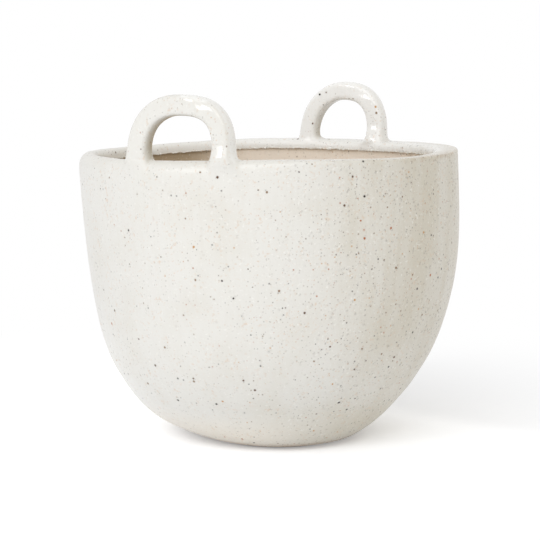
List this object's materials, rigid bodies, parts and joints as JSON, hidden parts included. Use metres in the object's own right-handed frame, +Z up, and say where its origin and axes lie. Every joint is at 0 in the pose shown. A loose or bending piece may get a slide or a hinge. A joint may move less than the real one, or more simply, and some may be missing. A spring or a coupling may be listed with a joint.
{
  "type": "bowl planter",
  "caption": "Round free-standing stoneware planter bowl with a rounded bottom, a small flat foot and two upright loop handles on the rim.",
  "frame": {"origin": "centre of the foot's flat underside, on the surface that the pot stands on", "axes": "+Z up along the bowl's axis; the front handle stands over -Y and the back handle over +Y, each loop in an X-Z plane"},
  "size_m": [0.24, 0.24, 0.2204],
  "materials": {
    "speckled_glaze": "satin off-white glaze over speckled stoneware",
    "bare_stoneware": "matt unglazed stoneware"
  },
  "bodies": {
    "root": {"foot_slab": "bare_stoneware", "bowl_wall": "speckled_glaze", "lip_coil": "speckled_glaze", "handle_front": "speckled_glaze", "handle_back": "speckled_glaze", "luting_front_left": "speckled_glaze", "luting_front_right": "speckled_glaze", "luting_back_left": "speckled_glaze", "luting_back_right": "speckled_glaze"}
  },
  "joints": []
}
